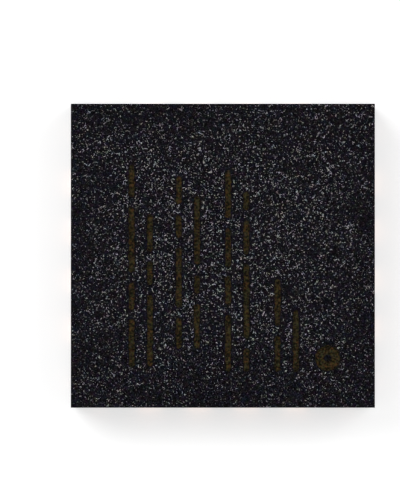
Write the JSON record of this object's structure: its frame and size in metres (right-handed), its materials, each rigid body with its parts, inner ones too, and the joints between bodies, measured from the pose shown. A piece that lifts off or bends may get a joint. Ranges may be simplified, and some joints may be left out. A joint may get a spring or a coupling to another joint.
{
  "type": "quad flat no-lead chip",
  "caption": "Square moulded chip package with flat solder leads along its four sides, an exposed die pad below and a pin 1 ring on its grained top.",
  "frame": {"origin": "under the middle of the body, on the plane of the solder faces", "axes": "+Z up out of the marked top face; +X to the right and +Y up in the picture, so pin 1 is on the +X side next to the -Y side"},
  "size_m": [0.004, 0.004, 0.0009],
  "materials": {
    "mould_compound": "fine eroded grain on top, sawn on the sides, smooth below",
    "plated_copper": "matte tin on copper, with bare copper where the saw cut",
    "silicon": "polished",
    "die_adhesive": "silver-filled epoxy",
    "gold_wire": "bright drawn wire"
  },
  "bodies": {
    "root": {"mould_body": "mould_compound", "die_pad": "plated_copper", "die_attach": "die_adhesive", "silicon_die": "silicon", "lead_01": "plated_copper", "lead_02": "plated_copper", "lead_03": "plated_copper", "lead_04": "plated_copper", "lead_05": "plated_copper", "lead_06": "plated_copper", "lead_07": "plated_copper", "lead_08": "plated_copper", "lead_09": "plated_copper", "lead_10": "plated_copper", "lead_11": "plated_copper", "lead_12": "plated_copper", "lead_13": "plated_copper", "lead_14": "plated_copper", "lead_15": "plated_copper", "lead_16": "plated_copper", "bond_wire_01": "gold_wire", "bond_wire_02": "gold_wire", "bond_wire_03": "gold_wire", "bond_wire_04": "gold_wire", "bond_wire_05": "gold_wire", "bond_wire_06": "gold_wire", "bond_wire_07": "gold_wire", "bond_wire_08": "gold_wire", "bond_wire_09": "gold_wire", "bond_wire_10": "gold_wire", "bond_wire_11": "gold_wire", "bond_wire_12": "gold_wire", "bond_wire_13": "gold_wire", "bond_wire_14": "gold_wire", "bond_wire_15": "gold_wire", "bond_wire_16": "gold_wire"}
  },
  "joints": []
}
